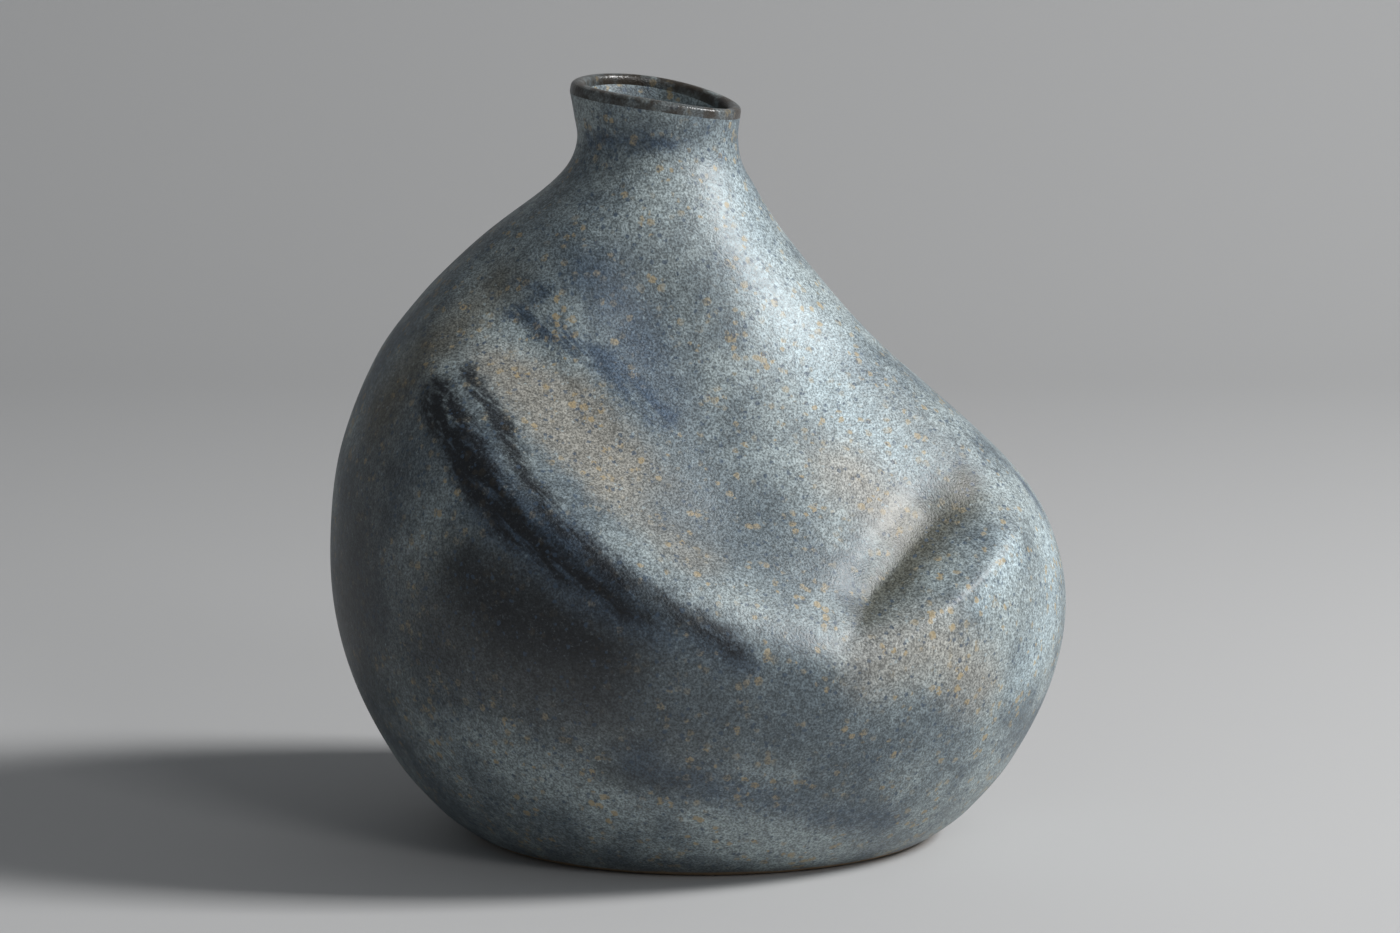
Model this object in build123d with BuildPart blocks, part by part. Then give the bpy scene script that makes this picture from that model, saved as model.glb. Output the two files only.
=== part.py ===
from build123d import *
import math
import os

# Stoneware bottle vase, about 190 mm tall: a round thrown body with a short neck that leans to one
# side. While the clay was soft its right shoulder was flattened and its front was pushed in with the
# palm, which left a broad dish that ends in a fold beside a bulging lobe.
#
# Frame: origin at the centre of the foot, on the surface the vase stands on. +Z is up, +X is towards
# the lobe and -Y is the side with the pressed dish. Millimetres and degrees.

# ---------------------------------------------------------------- driving dimensions

# Outer radius of the round, unpressed pot about its centre line: (height, radius).
THROWN_PROFILE = [
    (0, 56.2), (3, 61.3), (8, 67.6), (20, 77.7), (40, 87.7), (60, 91.7), (80, 89.6), (100, 83.0),
    (120, 70.6), (135, 57.0), (146, 45.2), (155, 35.0), (162, 27.3), (168, 22.1), (174, 20.0),
    (180, 20.6), (187, 21.7), (194, 23.4),
]
# How far the centre line stands to the side of the foot's centre: (height, sideways).
CENTRE_LINE = [
    (0, 0.0), (60, -1.4), (100, -7.1), (130, -13.1), (150, -14.6), (165, -11.9), (194, -12.2),
]

BODY_WALL = 5.0              # clay thickness of the bowl and the shoulders
NECK_WALL = 3.6              # thickness of the collar
WALL_THINS_FROM = 145.0      # the wall thins between these two heights
WALL_THINS_TO = 168.0

FOOT_TOP = 6.0               # joint between the foot slab and the bowl
BELLY_JOINT = 48.0           # joint between the bowl and the pressed belly
SHOULDER_JOINT = 108.0       # joint between the pressed belly and the shoulders
NECK_JOINT = 166.0           # joint between the shoulders and the collar
RIM_HEIGHT = 183.2           # joint between the collar and the lip, on the centre line
RIM_TILT = 8.6               # the rim slopes down to the right by this angle
RIM_NOD = 4.0                # and down to the front by this one

SPIGOT_HEIGHT = 1.6          # raised disc on the slab that the bowl sits around
TONGUE_WIDTH = 1.6           # tongue and groove that key one ring of clay to the next
TONGUE_HEIGHT = 1.5
JOINT_PLAY = 0.25            # room for slip on each side of a tongue

LIP_OUTER = 21.4             # the rolled lip, about the tilted mouth axis
LIP_INNER = 17.7
LIP_HEIGHT = 2.8
LIP_BULGE = 0.5              # how far the roll stands out past its seat
LIP_BULGE_LEVEL = 0.45       # share of the lip's height at which it is widest
LIP_KEY_HEIGHT = 0.8         # tongue on the collar that the lip is pressed over

# Palm-flattened slopes: the way each faces (azimuth from +X, elevation), its distance from the
# origin, and how softly it runs into the round pot.
RIGHT_SLOPE = (5.0, 49.5, 121.6, 4.0)
FRONT_LEFT_SLOPE = (-107.0, 39.0, 118.0, 4.0)
FRONT_SLOPE = (-65.0, 40.0, 107.5, 8.0)
SLOPES_FADE_FROM = 116.0     # the slopes die away towards the neck between these heights
SLOPES_FADE_TO = 176.0

# The dish ends at two planes: the fold beside the lobe, and the rolled rim at its lower left.
# Each is a point, the direction that points into the dish, and the width over which it rises.
FOLD = ((40.0, -70.0, 64.5), (-0.66, 0.0, 0.75), 18.0)
RIM = ((-35.0, -82.5, 97.0), (0.42, -0.34, 0.84), 20.0)

# Finger presses: where each starts and ends, how deep it goes and how wide. The lobe's crest is
# pushed out, so its depth is negative.
PRESSES = [
    ((-13, -48, 138), (8, -74, 100), 6.0, 18.0),
    ((60, -54, 62), (70, -44, 74), -1.5, 16.0),
]

# Horizontal sections: the points round each, where they lie along its curve, and the heights.
# Even places give all the sections one set of knots, which keeps the lofted surfaces light.
SECTION_POINTS = 144
EVEN_SPACING = [index / SECTION_POINTS for index in range(SECTION_POINTS + 1)]
FOOT_SECTIONS = [0, 3, 6]
BOWL_SECTIONS = [6, 9, 13, 20, 30, 39, 48]
BELLY_SECTIONS = [48] + [50 + 2.5 * step for step in range(23)] + [108]
SHOULDER_SECTIONS = [108, 110, 112.5, 116, 120, 125, 131, 137, 143, 149, 155, 160, 163, 166]
COLLAR_SECTIONS = [166, 170, 174, 178, 182, 187, 192]
GRAZING = 0.02               # a slope seen more edge-on than this doesn't cut the pot


# ---------------------------------------------------------------- the formed clay

def smooth_curve(knots, position):
    """Value of the cubic curve through the knots, which are (position, value) pairs in order."""
    last = len(knots) - 1

    def slope(index):
        before = knots[max(index - 1, 0)]
        after = knots[min(index + 1, last)]
        return (after[1] - before[1]) / (after[0] - before[0])

    span = 0
    while span < last - 1 and position > knots[span + 1][0]:
        span += 1
    (start, low), (end, high) = knots[span], knots[span + 1]
    length = end - start
    t = (position - start) / length
    rise = (3 * t**2 - 2 * t**3) * (high - low)
    lead_in = (t - 2 * t**2 + t**3) * length * slope(span)
    lead_out = (t**3 - t**2) * length * slope(span + 1)
    return low + rise + lead_in + lead_out


def soft_step(value):
    """0 below 0, 1 above 1, and an S curve between."""
    t = min(max(value, 0.0), 1.0)
    return t * t * (3 - 2 * t)


def soft_minimum(first, second, softness):
    """The lesser of two values, rounded where they meet."""
    lesser = min(first, second)
    gap = abs(first - second) / softness
    return lesser - softness * math.log1p(math.exp(-gap))


def wall_at(height):
    """Clay thickness at a height."""
    thinned = soft_step((height - WALL_THINS_FROM) / (WALL_THINS_TO - WALL_THINS_FROM))
    return BODY_WALL + (NECK_WALL - BODY_WALL) * thinned


def distance_past(plane, point):
    """How far a point lies inside the dish from the fold or rim plane."""
    origin, inward, _ = plane
    return sum((p - o) * n for p, o, n in zip(point, origin, inward)) / math.hypot(*inward)


def distance_to_segment(point, start, end):
    """Shortest distance from a point to a straight segment."""
    along = [e - s for s, e in zip(start, end)]
    offset = [p - s for s, p in zip(start, point)]
    share = sum(a * o for a, o in zip(along, offset)) / sum(a * a for a in along)
    share = min(max(share, 0.0), 1.0)
    return math.hypot(*(o - share * a for a, o in zip(along, offset)))


def slope_radius(slope, angle, height, inset):
    """Distance from the centre line out to a flattened slope, moved in by inset."""
    azimuth, elevation, distance, _ = slope
    facing = math.cos(math.radians(elevation)) * math.cos(angle - math.radians(azimuth))
    if facing < GRAZING:
        return math.inf
    sideways = math.cos(math.radians(elevation)) * math.cos(math.radians(azimuth))
    upward = math.sin(math.radians(elevation)) * height
    reach = distance - inset - upward - sideways * smooth_curve(CENTRE_LINE, height)
    return max(reach / facing, inset)


def clay_radius(angle, height, inset=0.0):
    """Radius of the formed pot at an angle (radians) and a height.

    The inside of the wall is the same form moved in by the clay thickness: each slope steps back
    squarely, and the fold and the rim step back into the lobe and the belly.
    """
    lean = smooth_curve(CENTRE_LINE, height)
    below = smooth_curve(THROWN_PROFILE, max(height - 1, 0))
    above = smooth_curve(THROWN_PROFILE, height + 1)
    slant = math.hypot(1, (above - below) / (height + 1 - max(height - 1, 0)))
    thrown = smooth_curve(THROWN_PROFILE, height) - inset * slant

    def point_at(radius):
        return (lean + radius * math.cos(angle), radius * math.sin(angle), height)

    pressed = soft_minimum(thrown, slope_radius(RIGHT_SLOPE, angle, height, inset), RIGHT_SLOPE[3])
    rim_rise = (distance_past(RIM, point_at(thrown)) + inset) / RIM[2] + 0.5
    for slope in (FRONT_LEFT_SLOPE, FRONT_SLOPE):
        floor = soft_minimum(pressed, slope_radius(slope, angle, height, inset), slope[3])
        fold_rise = (distance_past(FOLD, point_at(floor)) + inset) / FOLD[2] + 0.5
        pressed += (floor - pressed) * soft_step(fold_rise) * soft_step(rim_rise)

    fade = soft_step((SLOPES_FADE_TO - height) / (SLOPES_FADE_TO - SLOPES_FADE_FROM))
    radius = thrown - fade * (thrown - pressed)
    base_point = point_at(radius)
    for start, end, depth, width in PRESSES:
        radius -= depth * math.exp(-((distance_to_segment(base_point, start, end) / width) ** 2))
    return radius


def section_points(height, inset=0.0):
    """Points round the horizontal section at a height, inset from the outer face."""
    lean = smooth_curve(CENTRE_LINE, height)
    points = []
    for index in range(SECTION_POINTS):
        angle = 2 * math.pi * index / SECTION_POINTS
        radius = clay_radius(angle, height, inset)
        points.append((lean + radius * math.cos(angle), radius * math.sin(angle)))
    return points


def section_curve(height, inset=0.0):
    """Closed curve of the horizontal section at a height."""
    points = section_points(height, inset)
    return Edge.make_spline(points, periodic=True, parameters=EVEN_SPACING)


def clay_form(heights, inset_at=None):
    """Solid lofted through the sections at these heights, each moved in by inset_at(height)."""
    with BuildPart() as form:
        for height in heights:
            inset = inset_at(height) if inset_at else 0.0
            with BuildSketch(Plane.XY.offset(height)):
                with BuildLine():
                    add(section_curve(height, inset))
                make_face()
        loft()
    return form.part


def key_ring(height, play=0.0):
    """Ring in the middle of the wall above a joint: the tongue, or with play its groove."""
    middle = wall_at(height) / 2
    half = TONGUE_WIDTH / 2 + play
    with BuildPart() as ring:
        with BuildSketch(Plane.XY.offset(height)):
            with BuildLine():
                add(section_curve(height, middle - half))
            make_face()
            with BuildLine():
                add(section_curve(height, middle + half))
            make_face(mode=Mode.SUBTRACT)
        extrude(amount=TONGUE_HEIGHT + play)
    return ring.part


# ---------------------------------------------------------------- foot slab

with BuildPart() as foot_slab:
    add(clay_form(FOOT_SECTIONS))
    with BuildSketch(Plane.XY.offset(FOOT_TOP)):
        with BuildLine():
            add(section_curve(FOOT_TOP, wall_at(FOOT_TOP) + JOINT_PLAY))
        make_face()
    extrude(amount=SPIGOT_HEIGHT)

# ---------------------------------------------------------------- lower bowl

bowl_form = clay_form(BOWL_SECTIONS)
bowl_hollow = clay_form(BOWL_SECTIONS, wall_at)

with BuildPart() as lower_bowl:
    add(bowl_form)
    add(bowl_hollow, mode=Mode.SUBTRACT)
    add(key_ring(BELLY_JOINT))

# ---------------------------------------------------------------- pressed belly

belly_form = clay_form(BELLY_SECTIONS)
belly_hollow = clay_form(BELLY_SECTIONS, wall_at)

with BuildPart() as pressed_belly:
    add(belly_form)
    add(belly_hollow, mode=Mode.SUBTRACT)
    add(key_ring(BELLY_JOINT, JOINT_PLAY), mode=Mode.SUBTRACT)
    add(key_ring(SHOULDER_JOINT))

# ---------------------------------------------------------------- shoulders

shoulder_form = clay_form(SHOULDER_SECTIONS)
shoulder_hollow = clay_form(SHOULDER_SECTIONS, wall_at)

with BuildPart() as shoulder_dome:
    add(shoulder_form)
    add(shoulder_hollow, mode=Mode.SUBTRACT)
    add(key_ring(SHOULDER_JOINT, JOINT_PLAY), mode=Mode.SUBTRACT)
    add(key_ring(NECK_JOINT))

# ---------------------------------------------------------------- neck collar

mouth_centre = (smooth_curve(CENTRE_LINE, RIM_HEIGHT), 0, RIM_HEIGHT)
mouth_normal = (math.tan(math.radians(RIM_TILT)), -math.tan(math.radians(RIM_NOD)), 1)
mouth = Plane(origin=mouth_centre, x_dir=(0, 1, 0), z_dir=mouth_normal)
lip_middle = (LIP_OUTER + LIP_INNER) / 2
collar_form = clay_form(COLLAR_SECTIONS)
collar_hollow = clay_form(COLLAR_SECTIONS, wall_at)

with BuildPart() as neck_collar:
    add(collar_form)
    add(collar_hollow, mode=Mode.SUBTRACT)
    add(key_ring(NECK_JOINT, JOINT_PLAY), mode=Mode.SUBTRACT)
    split(bisect_by=mouth, keep=Keep.BOTTOM)
    with BuildSketch(mouth):
        Circle(lip_middle + TONGUE_WIDTH / 2)
        Circle(lip_middle - TONGUE_WIDTH / 2, mode=Mode.SUBTRACT)
    extrude(amount=LIP_KEY_HEIGHT)

# ---------------------------------------------------------------- rolled lip

lip_profile = Plane(origin=mouth_centre, x_dir=mouth.x_dir, z_dir=mouth.x_dir.cross(mouth.z_dir))

with BuildPart() as lip_roll:
    with BuildSketch(lip_profile):
        with BuildLine():
            seat = Line((LIP_INNER, 0), (LIP_OUTER, 0))
            bulge_height = LIP_HEIGHT * LIP_BULGE_LEVEL
            Spline(
                seat @ 1,
                (LIP_OUTER + LIP_BULGE, bulge_height),
                (lip_middle, LIP_HEIGHT),
                (LIP_INNER - LIP_BULGE / 2, bulge_height),
                seat @ 0,
            )
        make_face()
    revolve(axis=Axis(mouth_centre, mouth_normal))
    with BuildSketch(mouth):
        Circle(lip_middle + TONGUE_WIDTH / 2 + JOINT_PLAY)
        Circle(lip_middle - TONGUE_WIDTH / 2 - JOINT_PLAY, mode=Mode.SUBTRACT)
    extrude(amount=LIP_KEY_HEIGHT + JOINT_PLAY, mode=Mode.SUBTRACT)

# ---------------------------------------------------------------- files

foot_slab.part.label = "foot_slab"
lower_bowl.part.label = "lower_bowl"
pressed_belly.part.label = "pressed_belly"
shoulder_dome.part.label = "shoulder_dome"
neck_collar.part.label = "neck_collar"
lip_roll.part.label = "lip_roll"

os.makedirs("parts", exist_ok=True)
export_step(foot_slab.part, "parts/foot_slab.step")
export_step(lower_bowl.part, "parts/lower_bowl.step")
export_step(pressed_belly.part, "parts/pressed_belly.step")
export_step(shoulder_dome.part, "parts/shoulder_dome.step")
export_step(neck_collar.part, "parts/neck_collar.step")
export_step(lip_roll.part, "parts/lip_roll.step")
for piece in (foot_slab, lower_bowl, pressed_belly, shoulder_dome, neck_collar, lip_roll):
    size = piece.part.bounding_box().size
    print(piece.part.label, [round(v, 1) for v in size], round(piece.part.volume / 1000, 1), "cm3")
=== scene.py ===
# %% [markdown]
# # A hand-formed bottle vase in speckled stoneware glaze
# This lesson dresses a finished CAD vase for a lifelike render. The CAD model fixes the size
# and the joints between the rings of clay. Here each ring gets a smooth skin, a glaze made only of
# shader nodes, and a plain studio around it.

# %% Load the fixed frame
import math

import bpy
import numpy as np
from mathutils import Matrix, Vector


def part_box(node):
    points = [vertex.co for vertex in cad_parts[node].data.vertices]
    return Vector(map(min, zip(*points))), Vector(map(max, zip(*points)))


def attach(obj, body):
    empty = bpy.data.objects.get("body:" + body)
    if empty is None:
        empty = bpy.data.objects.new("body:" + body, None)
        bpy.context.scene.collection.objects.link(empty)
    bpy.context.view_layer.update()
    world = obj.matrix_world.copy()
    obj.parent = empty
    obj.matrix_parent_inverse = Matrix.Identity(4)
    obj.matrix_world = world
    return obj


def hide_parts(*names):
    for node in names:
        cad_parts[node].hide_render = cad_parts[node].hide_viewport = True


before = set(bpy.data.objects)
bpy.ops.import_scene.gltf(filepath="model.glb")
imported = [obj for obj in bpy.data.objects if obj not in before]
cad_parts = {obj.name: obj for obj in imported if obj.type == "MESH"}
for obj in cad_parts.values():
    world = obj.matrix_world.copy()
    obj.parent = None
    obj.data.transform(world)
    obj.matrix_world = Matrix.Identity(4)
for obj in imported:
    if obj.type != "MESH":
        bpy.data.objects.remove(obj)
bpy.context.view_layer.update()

MM = 0.001                      # the frame is in metres, and a potter thinks in millimetres

# %% [markdown]
# ## The clay form
# A vase like this is thrown round, and then pushed in with the palm while it is soft. It could be
# sculpted by hand or cut out with booleans, but a formula is easier to change afterwards. So it is a
# formula: a round profile about a leaning centre line, cut by three flat slopes that melt into it.
# The CAD rings come from the same profile and slopes. Along the fold the skin goes up to 6 mm deeper.

# %% Dimensions of the form, in millimetres and degrees
# Outer radius of the round pot: (height, radius).
THROWN_PROFILE = [
    (0, 56.2), (3, 61.3), (8, 67.6), (20, 77.7), (40, 87.7), (60, 91.7), (80, 89.6), (100, 83.0),
    (120, 70.6), (135, 57.0), (146, 45.2), (155, 35.0), (162, 27.3), (168, 22.1), (174, 20.0),
    (180, 20.6), (187, 21.7), (194, 23.4),
]
# How far the centre line stands to the side of the foot's centre: (height, sideways).
CENTRE_LINE = [
    (0, 0.0), (60, -1.4), (100, -7.1), (130, -13.1), (150, -14.6), (165, -11.9), (194, -12.2),
]
# Palm-flattened slopes: azimuth and elevation that each faces, distance, softness of its edge.
RIGHT_SLOPE = (5.0, 49.5, 121.6, 4.0)
DISH_SLOPES = [(-107.0, 39.0, 118.0, 4.0), (-65.0, 40.0, 107.5, 8.0)]
SLOPES_FADE = (176.0, 116.0)    # the slopes die away between these heights
# Where the dish ends: a point, the direction that points into the dish, the width of the rise.
FOLD = ((37.5, -70.0, 67.5), (-0.66, 0.0, 0.75), 10.0)
RIM = ((-35.0, -82.5, 97.0), (0.42, -0.34, 0.84), 20.0)
FOLD_WIDENS = 5.0               # the fold's rise is this much wider at its upper end
FOLD_ENDS = (62.0, 96.0)        # heights between which it widens
# Finger presses: start, end, depth (negative stands out) and width.
PRESSES = [
    ((-13, -48, 138), (8, -74, 100), 6.0, 18.0),
    ((60, -54, 62), (70, -44, 74), -1.5, 16.0),
    ((42, -66, 71), (56, -47, 85), 3.4, 8.0),
]
BODY_WALL, NECK_WALL = 5.0, 3.6
WALL_THINS = (145.0, 168.0)     # heights between which the wall thins
GRAZING = 0.02                  # a slope seen more edge-on than this doesn't cut the pot
FAR_AWAY = 1e4
WIDEST = max(radius for _, radius in THROWN_PROFILE)
print("round pot is", 2 * WIDEST, "mm wide before it is pressed")


# %% Curves that run smoothly through a few knots
def smooth_curve(knots, at):
    """Cubic curve through the (place, value) knots."""
    place, value = np.array(knots, float).T
    lead = np.empty_like(value)
    lead[1:-1] = (value[2:] - value[:-2]) / (place[2:] - place[:-2])
    lead[0] = (value[1] - value[0]) / (place[1] - place[0])
    lead[-1] = (value[-1] - value[-2]) / (place[-1] - place[-2])
    span = np.clip(np.searchsorted(place, at, side="right") - 1, 0, len(place) - 2)
    length = place[span + 1] - place[span]
    t = (at - place[span]) / length
    rise = (3 * t**2 - 2 * t**3) * (value[span + 1] - value[span])
    bend = (t - 2 * t**2 + t**3) * lead[span] + (t**3 - t**2) * lead[span + 1]
    return value[span] + rise + bend * length


def soft_step(value):
    """0 below 0, 1 above 1, and an S curve between."""
    t = np.clip(value, 0.0, 1.0)
    return t * t * (3 - 2 * t)


def share_between(value, ends):
    """Soft step from 0 at the first end to 1 at the second."""
    return soft_step((value - ends[0]) / (ends[1] - ends[0]))


def soft_minimum(first, second, softness):
    """The lesser of two surfaces, rounded where they meet."""
    return np.minimum(first, second) - softness * np.log1p(np.exp(-abs(first - second) / softness))


# %% The formed surface
def past_plane(plane, point):
    """How far points lie inside the dish from the fold or the rim."""
    inward = np.array(plane[1]) / np.linalg.norm(plane[1])
    return (point - np.array(plane[0])) @ inward


def segment_distance(point, start, end):
    """Distance from points to a straight segment."""
    start, along = np.array(start, float), np.array(end, float) - np.array(start, float)
    share = np.clip((point - start) @ along / (along @ along), 0, 1)
    return np.linalg.norm(point - start - share[..., None] * along, axis=-1)


def slope_radius(slope, angle, height, inset):
    """Distance from the centre line out to a flattened slope."""
    azimuth, elevation = math.radians(slope[0]), math.radians(slope[1])
    facing = math.cos(elevation) * np.cos(angle - azimuth)
    lean = smooth_curve(CENTRE_LINE, height)
    reach = slope[2] - inset - math.sin(elevation) * height
    reach = reach - math.cos(elevation) * math.cos(azimuth) * lean
    cut = np.maximum(reach / np.maximum(facing, GRAZING), inset)
    return np.where(facing > GRAZING, cut, FAR_AWAY)


def at_radius(angle, height, radius):
    """Points at an angle and radius about the leaning centre line."""
    lean = smooth_curve(CENTRE_LINE, height)
    return np.stack([lean + radius * np.cos(angle), radius * np.sin(angle), height], axis=-1)


def clay_points(angle, height, inset=0.0):
    """Points of the formed pot, or of the inside of its wall if they are moved in by inset."""
    angle, height, inset = np.broadcast_arrays(np.asarray(angle, float), height, inset)
    above = smooth_curve(THROWN_PROFILE, height + 1)
    below = smooth_curve(THROWN_PROFILE, height - 1)
    slant = np.hypot(1, (above - below) / 2)
    thrown = smooth_curve(THROWN_PROFILE, height) - inset * slant
    pressed = soft_minimum(thrown, slope_radius(RIGHT_SLOPE, angle, height, inset), RIGHT_SLOPE[3])
    rim = soft_step((past_plane(RIM, at_radius(angle, height, thrown)) + inset) / RIM[2] + 0.5)
    fold_width = FOLD[2] + FOLD_WIDENS * share_between(height, FOLD_ENDS)
    for slope in DISH_SLOPES:
        floor = soft_minimum(pressed, slope_radius(slope, angle, height, inset), slope[3])
        fold = (past_plane(FOLD, at_radius(angle, height, floor)) + inset) / fold_width + 1
        pressed = pressed + (floor - pressed) * soft_step(fold) * rim
    radius = thrown - share_between(height, SLOPES_FADE) * (thrown - pressed)
    base = at_radius(angle, height, radius)
    for start, end, depth, width in PRESSES:
        radius = radius - depth * np.exp(-((segment_distance(base, start, end) / width) ** 2))
    return at_radius(angle, height, radius)


def clay_normals(angle, height, inset=0.0):
    """Directions that point out of the pot, from small steps round it and up it."""
    turn, lift = 0.002, 0.1
    around = clay_points(angle + turn, height, inset) - clay_points(angle - turn, height, inset)
    upward = clay_points(angle, height + lift, inset) - clay_points(angle, height - lift, inset)
    normal = np.cross(around, upward)
    return normal / np.linalg.norm(normal, axis=-1, keepdims=True)


DISH_HEIGHT = 100.0
front = clay_points(np.radians([-90.0]), DISH_HEIGHT)[0]
dish_depth = smooth_curve(THROWN_PROFILE, DISH_HEIGHT) + front[1]
print("dish is", round(float(dish_depth), 1), "mm deep at the front,", DISH_HEIGHT, "mm up")


# %% [markdown]
# ## Skins for the rings of clay
# Each ring of clay is a closed loop of strips: up the outside, across the joint, down the inside and
# back. A lathe modifier can't follow the pressed side, so the strips are built point by point. Every
# strip brings its own normals from the formula, so light runs over the joints as if there were none.

# %% Where the rings meet, and how thick the wall is
FOOT_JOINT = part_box("lower_bowl")[0].z / MM
BELLY_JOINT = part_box("pressed_belly")[0].z / MM
SHOULDER_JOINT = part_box("shoulder_dome")[0].z / MM
NECK_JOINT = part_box("neck_collar")[0].z / MM
joints = (FOOT_JOINT, BELLY_JOINT, SHOULDER_JOINT, NECK_JOINT)
print("joints at heights, mm:", [round(v, 1) for v in joints])


def wall_at(height):
    """Thickness of the clay at a height."""
    return BODY_WALL + (NECK_WALL - BODY_WALL) * share_between(height, WALL_THINS)


# %% A closed skin out of strips
def strip_skin(name, strips, caps=False):
    """Mesh of strips, each (rings, normals) as arrays of ring x column x 3, in millimetres.

    A strip starts on the last ring of the one before it. The last strip ends on the first ring of
    all, unless caps closes both ends with flat faces.
    """
    columns = strips[0][0].shape[1]
    rings = [ring for points, _ in strips for ring in points[:-1]]
    if caps:
        rings.append(strips[-1][0][-1])
    corners, normals, row = [], [], 0
    right = np.roll(np.arange(columns), -1)
    for points, directions in strips:
        for step in range(len(points) - 1):
            low, high = row * columns, (row + 1) % len(rings) * columns
            here = np.arange(columns)
            corners.append(np.stack([low + here, low + right, high + right, high + here], 1))
            under, over = directions[step], directions[step + 1]
            normals.append(np.stack([under, under[right], over[right], over], 1))
            row += 1
    faces = np.concatenate(corners).tolist()
    corner_normals = np.concatenate(normals).reshape(-1, 3)
    if caps:
        faces.append(list(range(columns))[::-1])
        faces.append([row * columns + column for column in range(columns)])
        ends = np.repeat([[0, 0, -1.0], [0, 0, 1.0]], columns, axis=0)
        corner_normals = np.concatenate([corner_normals, ends])
    mesh = bpy.data.meshes.new(name)
    mesh.from_pydata((np.concatenate(rings) * MM).tolist(), [], faces)
    mesh.shade_smooth()
    mesh.normals_split_custom_set(corner_normals.tolist())
    piece = bpy.data.objects.new(name, mesh)
    bpy.context.scene.collection.objects.link(piece)
    print(name, "faces:", len(faces))
    return piece


def flat_strip(first, last, direction):
    """Strip straight across from one ring to another, facing one way."""
    rings = np.stack([first, last])
    return rings, np.broadcast_to(np.array(direction, float), rings.shape)


def turned_over(strip):
    """The same strip seen from the other side: its rings reversed and its normals flipped."""
    return strip[0][::-1], -strip[1][::-1]


# %% A ring of clay
def wall_strip(angles, heights, inset=0.0):
    """Strip of the formed surface through these heights, one row each."""
    rows = np.asarray(heights, float).reshape(len(heights), -1)
    heights = np.broadcast_to(rows, (len(rows), len(angles)))
    inset = wall_at(heights) if inset == "inside" else inset
    return clay_points(angles, heights, inset), clay_normals(angles, heights, inset)


def angles_of(columns):
    """Angles of evenly spaced columns round the pot."""
    return np.arange(columns) * 2 * math.pi / columns


def clay_ring(name, bottom, top, columns, outer_rows, inner_rows):
    """A ring of clay between two heights, which may differ from column to column."""
    angles = angles_of(columns)
    share = np.linspace(0, 1, outer_rows)[:, None]
    inner_share = np.linspace(0, 1, inner_rows)[:, None]
    outside = wall_strip(angles, bottom + (top - bottom) * share)
    inside = turned_over(wall_strip(angles, bottom + (top - bottom) * inner_share, "inside"))
    across = flat_strip(outside[0][-1], inside[0][0], (0, 0, 1))
    under = flat_strip(inside[0][-1], outside[0][0], (0, 0, -1))
    return strip_skin(name, [outside, across, inside, under])


# %% [markdown]
# ## The foot
# The foot is a thick disc. Its lower edge is worn round with a wet sponge, so a small quarter circle
# joins the flat face to the side. A bevel would do too, but the edge's exact radius is known here.

# %% The foot slab
EDGE_RADIUS = 0.9
EDGE_ANGLES = [0, 22, 45, 68, 90]
SLAB_COLUMNS, SLAB_ROWS = 256, 8
slab_angles = angles_of(SLAB_COLUMNS)
quarter = np.radians(EDGE_ANGLES)[:, None]
edge_heights = EDGE_RADIUS * (1 - np.cos(quarter)) + 0 * slab_angles
edge_points = clay_points(slab_angles, edge_heights)
edge_normals = clay_normals(slab_angles, edge_heights)
outward = np.stack([np.cos(slab_angles), np.sin(slab_angles), 0 * slab_angles], -1)
edge_points = edge_points - outward * (EDGE_RADIUS * (1 - np.sin(quarter)))[..., None]
downward = np.array([0, 0, -1.0])
edge_normals = edge_normals * np.sin(quarter)[..., None] + downward * np.cos(quarter)[..., None]
edge_normals /= np.linalg.norm(edge_normals, axis=-1, keepdims=True)
slab_side = wall_strip(slab_angles, np.linspace(EDGE_RADIUS, FOOT_JOINT, SLAB_ROWS))
foot = strip_skin("foot_slab_clay", [(edge_points, edge_normals), slab_side], caps=True)

# %% [markdown]
# ## The body
# The body could be one skin, but each CAD ring needs its own, so it is three: the bowl, the belly and
# the shoulders. Their columns are 1.2 mm apart at the widest place, fine enough for the narrow fold.
# Less is seen of the inside, so it has fewer rows.

# %% The bowl, the belly and the shoulders
BODY_COLUMNS = 480
bowl = clay_ring("lower_bowl_clay", FOOT_JOINT, BELLY_JOINT, BODY_COLUMNS, 50, 20)
belly = clay_ring("pressed_belly_clay", BELLY_JOINT, SHOULDER_JOINT, BODY_COLUMNS, 100, 30)
shoulders = clay_ring("shoulder_dome_clay", SHOULDER_JOINT, NECK_JOINT, BODY_COLUMNS, 80, 30)

# %% [markdown]
# ## The neck and its rolled lip
# The mouth slopes down to the right and a little to the front, and it is slightly saddle shaped, as a
# soft rim is when it has been lifted off the wheel. A flat cut would be simpler, but it looks turned
# by machine. The collar's rows spread between its flat joint and that wavy edge. The lip is a roll
# laid on the edge, fuller than a half circle, and fullest on the outside.

# %% The collar
RIM_HEIGHT, RIM_TILT, RIM_NOD = 183.2, 8.6, 4.0     # tilt to the right and to the front, degrees
SADDLE = 0.6                                        # mm up at the front and back, down at the sides
NECK_COLUMNS = 256
SETTLING_ROUNDS = 4
tilt_slope, nod_slope = math.tan(math.radians(RIM_TILT)), math.tan(math.radians(RIM_NOD))
neck_angles = angles_of(NECK_COLUMNS)
mouth_x = smooth_curve(CENTRE_LINE, RIM_HEIGHT)
edge = np.full(NECK_COLUMNS, RIM_HEIGHT)
for _ in range(SETTLING_ROUNDS):    # the wall flares, so the edge settles in a few rounds
    around = clay_points(neck_angles, edge)
    edge = RIM_HEIGHT - tilt_slope * (around[:, 0] - mouth_x) - SADDLE * np.cos(2 * neck_angles)
    edge = edge + nod_slope * around[:, 1]
collar = clay_ring("neck_collar_clay", NECK_JOINT, edge[None, :], NECK_COLUMNS, 60, 30)
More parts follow.
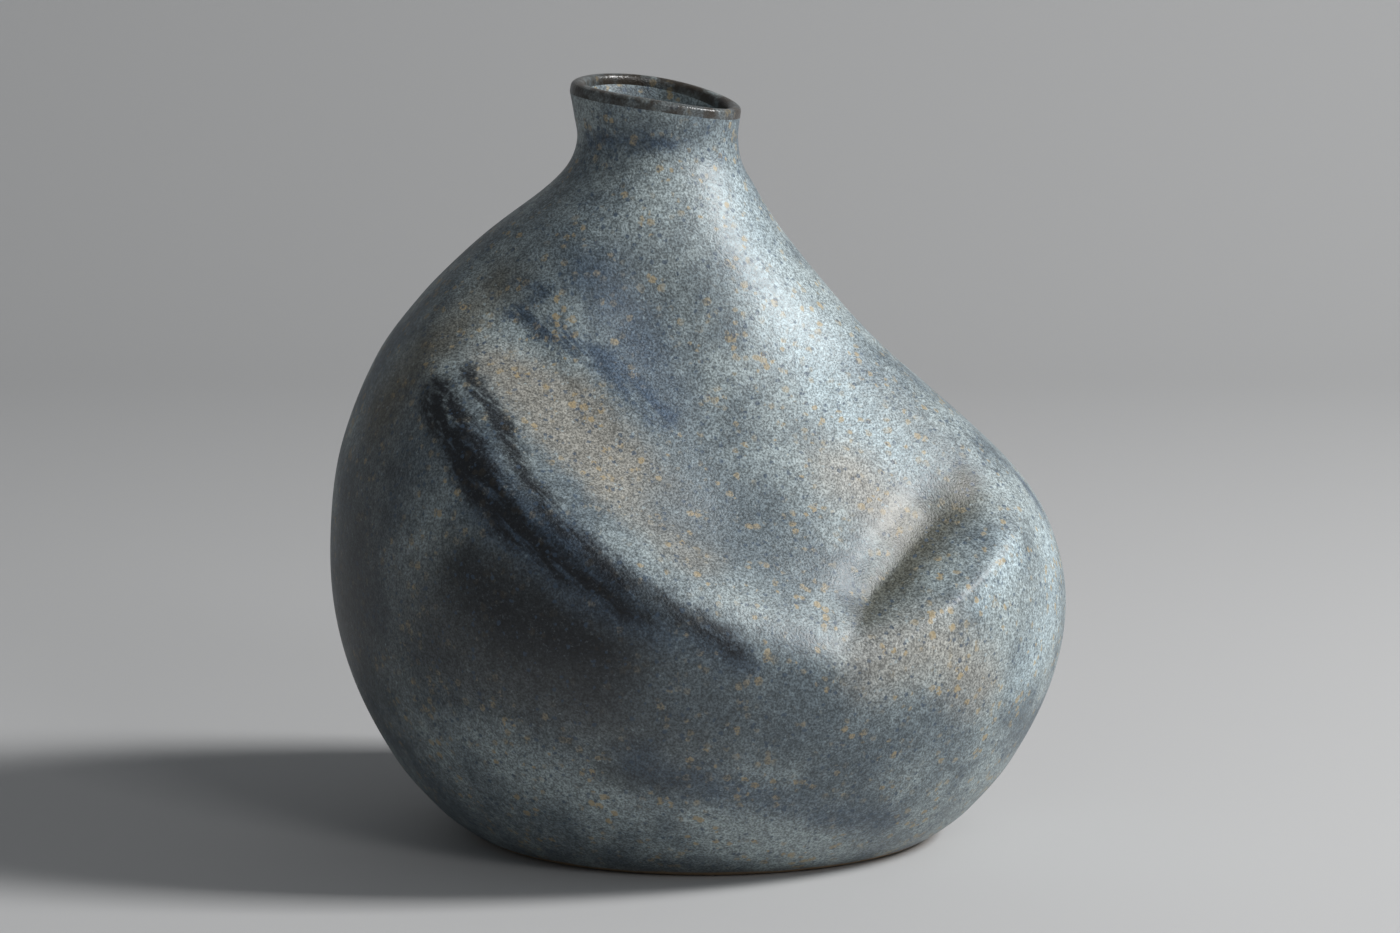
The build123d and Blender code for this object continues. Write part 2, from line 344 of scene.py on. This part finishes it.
print("mouth edge from", round(edge.min(), 1), "to", round(edge.max(), 1), "mm high")

# %% The rolled lip
LIP_HEIGHT = 2.7
LIP_SWELL, INNER_SWELL = 0.55, 0.5      # how the roll bulges, and the inside's share of that
LIP_FULLNESS = 0.8                      # below 1 the roll's sides are steeper than a half circle's
LIP_ROWS = 25
lip_outer, lip_inner = clay_points(neck_angles, edge), clay_points(neck_angles, edge, wall_at(edge))
lip_middle, lip_half = (lip_outer + lip_inner) / 2, (lip_outer - lip_inner) / 2
roll = np.radians(np.linspace(0, 180, LIP_ROWS))[:, None, None]
lip_up = np.array([tilt_slope, -nod_slope, 1.0])
lip_up /= np.linalg.norm(lip_up)
swell = 1 + LIP_SWELL * np.sin(roll) ** 2 * np.where(np.cos(roll) > 0, 1, INNER_SWELL)
raised = lip_up * LIP_HEIGHT * np.sin(roll) ** LIP_FULLNESS
lip_points = lip_middle + lip_half * np.cos(roll) * swell + raised
over_lip = np.gradient(lip_points, axis=0)
round_lip = np.roll(lip_points, -1, axis=1) - np.roll(lip_points, 1, axis=1)
lip_normals = np.cross(round_lip, over_lip)
lip_normals /= np.linalg.norm(lip_normals, axis=-1, keepdims=True)
lip_seat = flat_strip(lip_points[-1], lip_points[0], -lip_up)
lip = strip_skin("lip_roll_clay", [(lip_points, lip_normals), lip_seat])

# %% [markdown]
# ## Skins in place
# Each skin takes the place of one CAD ring. The vase has no moving part, so all of them ride on the
# same body.

# %% Put each skin in the place of its CAD ring
PIECES = [
    (foot, "foot_slab", "foot_clay"), (bowl, "lower_bowl", "body_glaze"),
    (belly, "pressed_belly", "body_glaze"), (shoulders, "shoulder_dome", "body_glaze"),
    (collar, "neck_collar", "body_glaze"), (lip, "lip_roll", "lip_glaze"),
]
for piece, node, slot in PIECES:
    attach(piece, "root")
    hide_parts(node)


# %% [markdown]
# ## Nodes, laid out with a few short words
# A glaze needs many nodes. This small helper places one, sets its options and joins its inputs, so
# that a recipe reads from top to bottom.

# %% A bench to lay nodes on
class Bench:
    """Adds nodes to one tree. Inputs may be numbers, colours or the outputs of other nodes."""

    def __init__(self, tree):
        self.tree = tree

    def add(self, kind, inputs=(), **options):
        node = self.tree.nodes.new(kind)
        for name, value in options.items():
            setattr(node, name, value)
        for key, value in dict(inputs).items():
            if isinstance(value, bpy.types.NodeSocket):
                self.tree.links.new(value, node.inputs[key])
            else:
                node.inputs[key].default_value = value
        return node

    def math(self, operation, first, second=0.0, third=0.0, clamp=False):
        inputs = {0: first, 1: second, 2: third}
        return self.add("ShaderNodeMath", inputs, operation=operation, use_clamp=clamp).outputs[0]

    def vector(self, operation, first, second=(0, 0, 0), output=0):
        """Vector sum. Output 0 is a vector, and output 1 is a number, as of a dot product."""
        node = self.add("ShaderNodeVectorMath", {0: first, 1: second}, operation=operation)
        return node.outputs[output]

    def scaled(self, vector, factor):
        node = self.add("ShaderNodeVectorMath", {0: vector, 3: factor}, operation="SCALE")
        return node.outputs[0]

    def spread(self, value, low, high, to_low=0.0, to_high=1.0):
        """An S curve from to_low to to_high as value goes from low to high."""
        inputs = {0: value, 1: low, 2: high, 3: to_low, 4: to_high}
        return self.add("ShaderNodeMapRange", inputs, interpolation_type="SMOOTHSTEP").outputs[0]

    def noise(self, position, size, detail=2.0, roughness=0.5, colour=False):
        """Soft noise whose lumps are about size millimetres across."""
        inputs = {"Vector": position, "Scale": 1 / size, "Detail": detail, "Roughness": roughness}
        node = self.add("ShaderNodeTexNoise", inputs, noise_dimensions="3D")
        return node.outputs["Color" if colour else "Fac"]

    def blend(self, share, under, over):
        node = self.add("ShaderNodeMix", {0: share, 6: under, 7: over}, data_type="RGBA")
        return node.outputs[2]

    def use(self, group, **inputs):
        node = self.tree.nodes.new("ShaderNodeGroup")
        node.node_tree = group
        for name, value in inputs.items():
            socket = node.inputs[name.replace("_", " ")]
            if isinstance(value, bpy.types.NodeSocket):
                self.tree.links.new(value, socket)
            else:
                socket.default_value = value
        return node.outputs


def new_group(name, inputs, outputs):
    """Node group with named sockets. Returns the group, its bench and its input and output nodes."""
    group = bpy.data.node_groups.new(name, "ShaderNodeTree")
    for socket, (kind, default) in inputs.items():
        made = group.interface.new_socket(socket, in_out="INPUT", socket_type="NodeSocket" + kind)
        if default is not None:
            made.default_value = default
    for socket, kind in outputs.items():
        group.interface.new_socket(socket, in_out="OUTPUT", socket_type="NodeSocket" + kind)
    bench = Bench(group)
    return group, bench, bench.add("NodeGroupInput").outputs, bench.add("NodeGroupOutput").inputs


def colour(red, green, blue):
    """Opaque colour from linear red, green and blue."""
    return (red, green, blue, 1.0)


# %% [markdown]
# ## One touch of the brush
# Dark marks like these are brushed or trailed on the raw glaze. A painted mask image would be lost when
# the part is reused, so each touch is a rounded bar in space: full inside a radius, and gone a soft
# edge further out. The radius may change from one end to the other, as a brush runs dry.

# %% Node group: brush touch
brush_touch, bench, given, put = new_group(
    "brush touch",
    {"Position": ("Vector", None), "Start": ("Vector", None), "End": ("Vector", None),
     "Start radius": ("Float", 5.0), "End radius": ("Float", 5.0), "Soft edge": ("Float", 2.0)},
    {"Mask": "Float"},
)
along = bench.vector("SUBTRACT", given["End"], given["Start"])
away = bench.vector("SUBTRACT", given["Position"], given["Start"])
share = bench.math("DIVIDE", bench.vector("DOT_PRODUCT", away, along, 1),
                   bench.vector("DOT_PRODUCT", along, along, 1), clamp=True)
nearest = bench.scaled(along, share)
distance = bench.vector("DISTANCE", away, nearest, 1)
radii = {0: share, 3: given["Start radius"], 4: given["End radius"]}
radius = bench.add("ShaderNodeMapRange", radii).outputs[0]
depth = bench.math("SUBTRACT", radius, distance)
soft = given["Soft edge"]
mask = bench.spread(depth, bench.math("MULTIPLY", soft, -1.0), soft)
bench.tree.links.new(mask, put["Mask"])
print("brush touch:", len(brush_touch.nodes), "nodes")

# %% [markdown]
# ## Flecks
# Iron in the clay and crystals in the glaze make specks up to about two millimetres across. They could
# be modelled one by one, but there are far too many. Cells of a Voronoi pattern give each speck its own
# place, and a share decides how many of them show.

# %% Node group: flecks
RAGGED_SIZE, RAGGED_SPAN = 0.9, 1.1     # mm, how finely and how far a speck's outline strays
FLECK_EDGE = 0.08                       # softness of a speck's edge, in cells
flecks, bench, given, put = new_group(
    "flecks",
    {"Position": ("Vector", None), "Spacing": ("Float", 2.0), "Size": ("Float", 0.5),
     "Share": ("Float", 0.3)},
    {"Mask": "Float"},
)
ragged = bench.noise(given["Position"], RAGGED_SIZE, 1.0, colour=True)
ragged = bench.scaled(bench.vector("SUBTRACT", ragged, (0.5, 0.5, 0.5)), RAGGED_SPAN)
place = bench.vector("ADD", given["Position"], ragged)
place = bench.scaled(place, bench.math("DIVIDE", 1.0, given["Spacing"]))
cells = bench.add("ShaderNodeTexVoronoi", {"Vector": place, "Scale": 1.0}, voronoi_dimensions="3D")
lucky = bench.add("ShaderNodeSeparateColor", {0: cells.outputs["Color"]})
chosen = bench.math("LESS_THAN", lucky.outputs[0], given["Share"])
reach = bench.math("MULTIPLY", given["Size"], bench.spread(lucky.outputs[1], 0.0, 1.0, 0.5, 1.0))
dot = bench.math("SUBTRACT", reach, cells.outputs["Distance"])
dot = bench.spread(dot, -FLECK_EDGE, FLECK_EDGE)
bench.tree.links.new(bench.math("MULTIPLY", dot, chosen), put["Mask"])
print("flecks:", len(flecks.nodes), "nodes")

# %% [markdown]
# ## The palette and the painting
# Colours are the glaze over stoneware: blue-grey where it is thick, pale where crystals formed, warm
# beige where it is thin over the clay, and almost black where the oxide was brushed on. The pale sky
# blue also makes painted highlights on the lit ridges, and the olive adds painted shade in the fold.

# %% Colours of the fired glaze
PALETTE = {
    "mist": colour(0.270, 0.318, 0.325),
    "slate": colour(0.105, 0.134, 0.152),
    # pale blue, also used as painted highlight on the lit ridges
    "sky": colour(0.360, 0.445, 0.475),
    "beige": colour(0.300, 0.290, 0.258),
    # the beige a quarter darker, for the dish floor
    "sand": colour(0.225, 0.216, 0.188),
    "warm": colour(0.380, 0.285, 0.140),
    "brown": colour(0.105, 0.094, 0.066),
    "blue": colour(0.042, 0.070, 0.110),
    "ink": colour(0.006, 0.008, 0.011),
    "crystal": colour(0.105, 0.125, 0.140),
    "charcoal": colour(0.042, 0.046, 0.049),
    # olive paint, made dark enough to add painted shade in the crease of the fold
    "olive_and_crease_shade": colour(0.062, 0.060, 0.042),
}
print("colours:", len(PALETTE))

# %% The painting, from the first wash to the last stroke
# Each mark: colour, strength, soft edge, and the points it runs through as (x, y, z, radius) in mm.
MARKS = [
    # washes on the body, and painted highlights in sky blue on the lit ridges
    ("charcoal", 0.85, 22, [(-84, -34, 60, 26), (-76, -40, 96, 14)]),
    ("charcoal", 0.90, 14, [(-60, -70, 62, 18), (-34, -84, 54, 18), (-4, -90, 44, 12)]),
    ("slate", 0.72, 12, [(-4, -92, 50, 12), (36, -80, 38, 11), (58, -64, 34, 7)]),
    ("brown", 0.75, 9, [(-78, -34, 112, 8), (-64, -35, 129, 8), (-50, -26, 142, 5)]),
    ("slate", 0.70, 10, [(-40, -20, 156, 6), (-28, -30, 146, 10), (-14, -38, 134, 8)]),
    # painted highlight down the lit ridge from the right of the neck
    ("sky", 0.70, 12, [(9, -15, 160, 7), (16, -24, 142, 8), (30, -26, 122, 8)]),
    # the beige made a quarter darker, over the dish floor from the left shoulder down
    ("sand", 0.90, 5, [(-50, -43, 122, 6), (-36, -52, 114, 11), (-18, -65, 100, 12), (-2, -75, 85, 9)]),
    ("slate", 0.85, 9, [(-6, -69, 91, 9), (14, -71, 80, 10), (20, -78, 68, 5)]),
    # painted highlight on the lit slope where it turns to the light
    ("sky", 0.80, 9, [(20, -28, 129, 5), (35, -37, 109, 8), (44, -40, 100, 7)]),
    ("beige", 0.85, 8, [(33, -46, 96, 8), (46, -50, 86, 7)]),
    ("beige", 0.80, 8, [(39, -79, 57, 7), (54, -72, 60, 8), (66, -60, 48, 6)]),
    ("sky", 0.65, 8, [(84, -22, 76, 7), (84, -32, 60, 8), (78, -44, 48, 7)]),
    ("mist", 0.85, 9, [(-48, -68, 30, 8), (-24, -78, 24, 9)]),
    # painted highlight along the crest of the lobe beside the fold
    ("sky", 0.75, 4, [(66, -62, 68, 2), (75, -48, 78, 5)]),
    # the dark patch in the valley and the crisp blue edge above the beige
    ("blue", 0.80, 7, [(-28, -34, 146, 4), (-16, -38, 131, 6), (-8, -48, 114, 6)]),
    ("slate", 0.85, 8, [(-13, -49, 114, 8), (-2, -57, 100, 9), (13, -62, 86, 9)]),
    ("blue", 0.90, 2.0, [
        (-47, -33, 134, 1.0), (-36, -40, 130, 3.0), (-25, -43, 125, 3.4), (-10, -50, 112, 4.0)]),
    ("blue", 0.80, 2.0, [(-46, -28, 141, 1.2), (-39, -34, 139, 2.2), (-45, -34, 134, 1.4)]),
    ("blue", 0.60, 6, [(36, -21, 118, 3), (45, -21, 112, 4)]),
    ("blue", 0.80, 4, [(78, -16, 90, 2), (84, -12, 82, 2)]),
    # the fold with olive paint and painted shade in its crease, the lower band and the neck
    # olive paint along the crease, darkened further as painted shade on the fold's wall
    ("olive_and_crease_shade", 0.90, 5.0, [(38, -73, 66, 3.0), (43, -65, 71, 4.6), (51, -54, 80, 5.6), (64, -36, 92, 5)]),
    ("blue", 0.65, 5, [(-15, -83, 32, 5), (13, -79, 24, 4), (44, -58, 14, 4)]),
    ("ink", 0.60, 6, [(-23, -80, 31, 5), (-6, -82, 27, 3)]),
    ("blue", 0.85, 2.0, [(-28, -11, 175, 2.0), (-14, -20, 174.5, 2.6), (4, -13, 171, 1.4)]),
    # the long double stroke and the blot under it
    ("ink", 0.90, 9, [(-57, -73, 78, 9), (-44, -81, 71, 13), (-24, -89, 61, 8)]),
    ("blue", 0.90, 5, [
        (-60, -60, 108, 4), (-46, -76, 92, 7), (-27, -88, 78, 7), (-8, -91, 68, 5),
        (10, -91, 58, 2)]),
    ("ink", 0.98, 2.2, [
        (-65, -48, 117, 5.0), (-58, -63, 105, 6.0), (-48, -75, 92, 4.8), (-34, -85, 80, 3.6),
        (-14, -91, 69, 2.6)]),
    ("ink", 0.94, 2.0, [
        (-58, -44, 122, 2.2), (-50, -58, 112, 3.2), (-42, -72, 99, 2.6), (-34, -81, 89, 2.2),
        (-19, -88, 78, 2.8), (-4, -91, 69, 3.0), (8, -91, 61, 1.8)]),
    ("slate", 0.70, 5, [(-15, -90, 76, 1), (-4, -92, 62, 2), (8, -90, 52, 2)]),
    # the far side, painted in the same manner
    ("slate", 0.75, 14, [(66, 44, 90, 14), (34, 60, 118, 10)]),
    ("charcoal", 0.85, 16, [(26, 84, 46, 16), (-34, 80, 52, 20)]),
    ("beige", 0.85, 7, [(-30, 70, 116, 9), (6, 80, 100, 10), (34, 76, 84, 6)]),
    ("brown", 0.60, 10, [(84, 22, 52, 10), (74, 42, 30, 8)]),
    ("beige", 0.50, 10, [(-60, 56, 30, 9), (-30, 72, 20, 6)]),
    ("blue", 0.90, 5, [
        (-66, 51, 112, 4), (-46, 74, 97, 7), (-16, 88, 82, 6), (17, 90, 66, 5), (42, 80, 54, 2)]),
    ("ink", 0.96, 2.2, [(-66, 51, 112, 2.6), (-46, 74, 97, 4.6), (-16, 88, 82, 4.2), (17, 90, 66, 2.6)]),
    ("ink", 0.94, 2.0, [
        (-60, 50, 121, 1.8), (-38, 74, 107, 3.2), (-8, 86, 92, 2.6), (22, 86, 78, 2.8),
        (40, 81, 70, 1.4)]),
]


# %% [markdown]
# ## The whole glaze
# One group lays the marks over each other, roughens their edges, adds the specks, and puts out
# colour, roughness and height. Every ring of clay uses it in the same space, so the painting runs
# on over the joints.

# %% Node group: painted glaze, and how the brush strays
BRISTLE_SIZE, BRISTLE_SQUEEZE = 2.2, 0.88   # mm, and the share of the stroke's length squeezed away
WANDER_SIZE, WANDER_SPAN = 9.0, 7.0         # mm, the slow straying of an edge
CRUMBLE_SIZE, CRUMBLE_SPAN = 1.0, 5.0       # mm, the breaking of an edge into specks
STROKE_DIRECTION = tuple(Vector((62, -46, -56)).normalized())
painted_glaze, bench, given, put = new_group(
    "painted glaze",
    {"Position": ("Vector", None)},
    {"Colour": "Color", "Roughness": "Float", "Height": "Float"},
)
position = bench.scaled(given["Position"], 1 / MM)
# In squeezed space, noise stretches along the strokes into bristle marks.
travel = bench.vector("DOT_PRODUCT", position, STROKE_DIRECTION, 1)
along_stroke = bench.scaled(STROKE_DIRECTION, bench.math("MULTIPLY", travel, BRISTLE_SQUEEZE))
squeezed = bench.vector("SUBTRACT", position, along_stroke)
streaks = bench.noise(squeezed, BRISTLE_SIZE, 3.0, 0.6)
wander = bench.noise(position, WANDER_SIZE, 3.0, 0.55, colour=True)
wander = bench.scaled(bench.vector("SUBTRACT", wander, (0.5, 0.5, 0.5)), WANDER_SPAN)
crumble = bench.noise(position, CRUMBLE_SIZE, 2.0, 0.7, colour=True)
crumble = bench.scaled(bench.vector("SUBTRACT", crumble, (0.5, 0.5, 0.5)), CRUMBLE_SPAN)
brushed_at = bench.vector("ADD", bench.vector("ADD", position, wander), crumble)

# %% [markdown]
# The ground is a cloudy blue-grey. The marks lie over it in the order of the list. A mark with a
# narrow edge is a stroke, so its bristles leave gaps. Cycles runs out of room when it may work on all
# marks at once. So each mark's place has a millionth of the colour below it added: that moves
# nothing that can be seen, and makes the mark wait for the one before.

# %% The ground and the marks
CLOUD_SIZE = 24.0
STROKE_EDGE = 4         # a mark with an edge this soft, or softer, is a wash without gaps
WAIT = 1e-6
clouds = bench.noise(position, CLOUD_SIZE, 5.0, 0.66)
paint = bench.blend(bench.spread(clouds, 0.36, 0.64), PALETTE["slate"], PALETTE["mist"])
for name, strength, soft_edge, points in MARKS:
    mark = None
    for start, end in zip(points, points[1:]):
        touch = bench.use(brush_touch, Position=brushed_at, Start=start[:3], End=end[:3],
                          Start_radius=start[3], End_radius=end[3], Soft_edge=soft_edge)["Mask"]
        mark = touch if mark is None else bench.math("MAXIMUM", mark, touch)
    if soft_edge < STROKE_EDGE:
        worn = bench.spread(streaks, 0.30, 0.52, 0.20, 1.0)
        mark = bench.math("MULTIPLY", mark, bench.math("MAXIMUM", worn, bench.spread(mark, 0.8, 1.4)))
    paint = bench.blend(bench.math("MULTIPLY", mark, strength), paint, PALETTE[name])
    waiting = {0: paint, 1: (WAIT, WAIT, WAIT), 2: brushed_at}
    brushed_at = bench.add("ShaderNodeVectorMath", waiting, operation="MULTIPLY_ADD").outputs[0]
print("marks:", len(MARKS), "touches:", sum(len(points) - 1 for _, _, _, points in MARKS))

# %% [markdown]
# A flat colour would look like plastic. Crystals give the glaze a grain finer than a millimetre, and
# some float in the dark strokes too. Ochre specks come in loose clusters, and dark blue ones are all
# over. The ochre and the pale specks fade on the dark parts.

# %% Crystals and specks
GRAIN_SIZE, FLOATING_SIZE, SPECKLE_SIZE, CLUSTER_SIZE = 0.55, 0.75, 1.7, 11.0
grain = bench.noise(position, GRAIN_SIZE, 1.0, 0.6)
floating = bench.noise(bench.vector("ADD", position, (3, 9, 27)), FLOATING_SIZE, 2.0, 0.7)
paint = bench.blend(bench.spread(floating, 0.55, 0.72, 0.0, 0.40), paint, PALETTE["crystal"])
speckle = bench.noise(position, SPECKLE_SIZE, 2.0, 0.7)
fine_shade = bench.spread(grain, 0.32, 0.68, 0.60, 1.40)
shade = bench.math("MULTIPLY", fine_shade, bench.spread(speckle, 0.34, 0.66, 0.80, 1.22))
paint = bench.add("ShaderNodeHueSaturation", {"Value": shade, "Color": paint}).outputs[0]
clusters = bench.spread(bench.noise(position, CLUSTER_SIZE, 3.0, 0.6), 0.42, 0.60)
ochre = bench.use(flecks, Position=position, Spacing=2.3, Size=0.46, Share=0.55)["Mask"]
brightness = bench.add("ShaderNodeRGBToBW", {0: paint}).outputs[0]
lit = bench.spread(brightness, 0.03, 0.22, 0.05, 0.70)
ochre = bench.math("MULTIPLY", bench.math("MULTIPLY", ochre, clusters), lit)
paint = bench.blend(ochre, paint, PALETTE["warm"])
dark_at = bench.vector("ADD", position, (31, 17, 5))
dark = bench.use(flecks, Position=dark_at, Spacing=1.5, Size=0.40, Share=0.30)["Mask"]
paint = bench.blend(bench.math("MULTIPLY", dark, 0.70), paint, PALETTE["blue"])
pale_at = bench.vector("ADD", position, (7, 41, 23))
pale = bench.use(flecks, Position=pale_at, Spacing=1.3, Size=0.34, Share=0.16)["Mask"]
pale = bench.math("MULTIPLY", bench.math("MULTIPLY", pale, lit), 0.70)
paint = bench.blend(pale, paint, PALETTE["sky"])

# %% [markdown]
# The surface is satin. The same grain that darkens the colour also changes the roughness, and it
# stands up a little with the slower lumps, so highlights break into sparkle.

# %% What the group puts out
LUMP_SIZE = 3.2
lumps = bench.noise(position, LUMP_SIZE, 2.0, 0.5)
raised_grain = bench.math("MULTIPLY", grain, 0.8)
bench.tree.links.new(paint, put["Colour"])
bench.tree.links.new(bench.spread(grain, 0.25, 0.75, 0.40, 0.58), put["Roughness"])
bench.tree.links.new(bench.math("MULTIPLY_ADD", lumps, 0.5, raised_grain), put["Height"])
print("painted glaze:", len(painted_glaze.nodes), "nodes")


# %% [markdown]
# ## Three finishes from one glaze
# The body is plain glaze. On the lip the glaze runs thin and turns a dark, glossier brown. At the
# foot it was wiped off, so bare stoneware shows below a wavy line. A bump node turns the glaze's
# height into the fine sparkle of a satin surface.

# %% A material that carries the glaze
BUMP_MM = 0.16          # how far the glaze's height of 1 stands up
GLAZE_IOR = 1.52


def glaze_material(name):
    """New material that holds the painted glaze and its bump, but no colour yet.

    Returns the material, its bench, the glaze's outputs, the shader and the place in metres.
    """
    material = bpy.data.materials.new(name)
    material.use_nodes = True
    bench = Bench(material.node_tree)
    shader = material.node_tree.nodes["Principled BSDF"]
    shader.inputs["IOR"].default_value = GLAZE_IOR
    place = bench.add("ShaderNodeTexCoord").outputs["Object"]
    glaze = bench.use(painted_glaze, Position=place)
    bump = bench.add("ShaderNodeBump", {"Height": glaze["Height"], "Distance": BUMP_MM * MM})
    bench.tree.links.new(bump.outputs[0], shader.inputs["Normal"])
    return material, bench, glaze, shader, place


# %% Glaze on the body
body_material, bench, glaze, shader, _ = glaze_material("speckled satin glaze")
bench.tree.links.new(glaze["Colour"], shader.inputs["Base Color"])
bench.tree.links.new(glaze["Roughness"], shader.inputs["Roughness"])

# %% Thin brown glaze on the lip
LIP_BROWN = colour(0.030, 0.024, 0.018)
LIP_ROUGHNESS = 0.32
PATCH_SIZE = 5.0        # patches where the thicker glaze still covers the brown
lip_material, bench, glaze, shader, place = glaze_material("glaze thin over the lip")
place = bench.scaled(place, 1 / MM)
thicker = bench.spread(bench.noise(place, PATCH_SIZE, 3.0), 0.40, 0.62, 0.0, 0.45)
lip_colour = bench.blend(thicker, LIP_BROWN, glaze["Colour"])
bench.tree.links.new(lip_colour, shader.inputs["Base Color"])
shader.inputs["Roughness"].default_value = LIP_ROUGHNESS

# %% Bare clay under the wiped line on the foot
DARK_CLAY, PALE_CLAY = colour(0.26, 0.17, 0.10), colour(0.42, 0.31, 0.20)
WAVE_SIZE, WAVE_HEIGHT, LINE_HEIGHT = 14.0, 1.6, 0.5
LINE_EDGE = 0.2
foot_material, bench, glaze, shader, place = glaze_material("glaze wiped off the foot")
place = bench.scaled(place, 1 / MM)
height = bench.add("ShaderNodeSeparateXYZ", {0: place}).outputs[2]
wavy = bench.math("MULTIPLY_ADD", bench.noise(place, WAVE_SIZE), WAVE_HEIGHT, LINE_HEIGHT)
covered = bench.spread(bench.math("SUBTRACT", height, wavy), -LINE_EDGE, LINE_EDGE)
bare = bench.blend(bench.noise(place, 1.2, 2.0), DARK_CLAY, PALE_CLAY)
bench.tree.links.new(bench.blend(covered, bare, glaze["Colour"]), shader.inputs["Base Color"])
bench.tree.links.new(bench.spread(covered, 0, 1, 0.85, 0.45), shader.inputs["Roughness"])

# %% Finishes on their pieces
for piece, material in [(foot, foot_material), (bowl, body_material), (belly, body_material),
                        (shoulders, body_material), (collar, body_material), (lip, lip_material)]:
    piece.data.materials.append(material)
print("materials:", [material.name for material in bpy.data.materials])

# %% [markdown]
# ## The studio
# A pale sweep runs from the table up the wall in one bend, so no line cuts behind the vase. It rides
# on no body, so it isn't part of the object. From behind it is clear, so the far side can be looked at
# too.

# %% The sweep
SWEEP_HALF_WIDTH, SWEEP_FRONT, SWEEP_TOP = 3.0, -2.5, 3.0       # metres
BEND_AT, BEND_RADIUS, BEND_STEPS = 0.9, 0.7, 24
bend = np.linspace(0, math.pi / 2, BEND_STEPS)
profile = [(SWEEP_FRONT, 0.0)]
profile += [(BEND_AT + BEND_RADIUS * math.sin(a), BEND_RADIUS * (1 - math.cos(a))) for a in bend]
profile.append((BEND_AT + BEND_RADIUS, SWEEP_TOP))
sweep_points = [(side * SWEEP_HALF_WIDTH, y, z) for y, z in profile for side in (-1, 1)]
sweep_faces = [(2 * i, 2 * i + 1, 2 * i + 3, 2 * i + 2) for i in range(len(profile) - 1)]
sweep_mesh = bpy.data.meshes.new("sweep")
sweep_mesh.from_pydata(sweep_points, [], sweep_faces)
sweep_mesh.shade_smooth()
sweep = bpy.data.objects.new("sweep", sweep_mesh)
bpy.context.scene.collection.objects.link(sweep)

# %% Pale paper
PAPER_GREY = colour(0.50, 0.50, 0.50)
PAPER_ROUGHNESS = 0.85
paper = bpy.data.materials.new("pale paper")
paper.use_nodes = True
paper_shader = paper.node_tree.nodes["Principled BSDF"]
paper_shader.inputs["Base Color"].default_value = PAPER_GREY
paper_shader.inputs["Roughness"].default_value = PAPER_ROUGHNESS
bench = Bench(paper.node_tree)
from_behind = bench.add("ShaderNodeNewGeometry").outputs["Backfacing"]
bench.tree.links.new(bench.math("SUBTRACT", 1.0, from_behind), paper_shader.inputs["Alpha"])
sweep_mesh.materials.append(paper)
print("sweep faces:", len(sweep_faces))


# %% [markdown]
# ## Light
# One soft window of light stands high on the right and a little in front, so the vase's shadow falls
# to the left. A weak second light in front softens the shade, and a dim sky fills the rest.

# %% Lights
VASE_MIDDLE = Vector((0, 0, 0.09))


def soft_light(name, place, width, height, power):
    """Rectangular light, sized in metres and powered in watts, that faces the vase."""
    light = bpy.data.lights.new(name, "AREA")
    light.shape = "RECTANGLE"
    light.size, light.size_y, light.energy = width, height, power
    lamp = bpy.data.objects.new(name, light)
    bpy.context.scene.collection.objects.link(lamp)
    lamp.location = place
    lamp.rotation_mode = "QUATERNION"
    lamp.rotation_quaternion = (VASE_MIDDLE - Vector(place)).to_track_quat("-Z", "Y")
    print(name, "light:", power, "W")


soft_light("window", (1.42, -0.17, 1.13), width=0.42, height=0.50, power=38)
soft_light("room", (0.9, -1.6, 1.0), width=0.5, height=0.5, power=6)

# %% A dim sky
SKY_COLOUR, SKY_STRENGTH = colour(0.80, 0.85, 0.90), 0.18
sky = bpy.data.worlds.new("dim sky")
bpy.context.scene.world = sky
sky.use_nodes = True
sky.node_tree.nodes["Background"].inputs["Color"].default_value = SKY_COLOUR
sky.node_tree.nodes["Background"].inputs["Strength"].default_value = SKY_STRENGTH
bpy.context.scene.view_settings.view_transform = "Standard"
print("sky strength:", SKY_STRENGTH)

# %% [markdown]
# ## Camera
# A long lens from 1.3 m away keeps the outline calm. It stands above the mouth and looks down by
# about 8 degrees, so the opening just shows.

# %% The camera
AIM = Vector((-1.25, 0, 92)) * MM
CAMERA_DISTANCE, CAMERA_ELEVATION = 1.3, math.radians(8.1)
LENS_MM, SENSOR_MM = 133.7, 36
lens = bpy.data.cameras.new("long lens")
lens.lens, lens.sensor_width = LENS_MM, SENSOR_MM
camera = bpy.data.objects.new("camera", lens)
bpy.context.scene.collection.objects.link(camera)
back = Vector((0, -math.cos(CAMERA_ELEVATION), math.sin(CAMERA_ELEVATION)))
camera.location = AIM + back * CAMERA_DISTANCE
camera.rotation_mode = "QUATERNION"
camera.rotation_quaternion = (-back).to_track_quat("-Z", "Y")
bpy.context.scene.camera = camera
print("camera height, mm:", round(camera.location.z / MM))
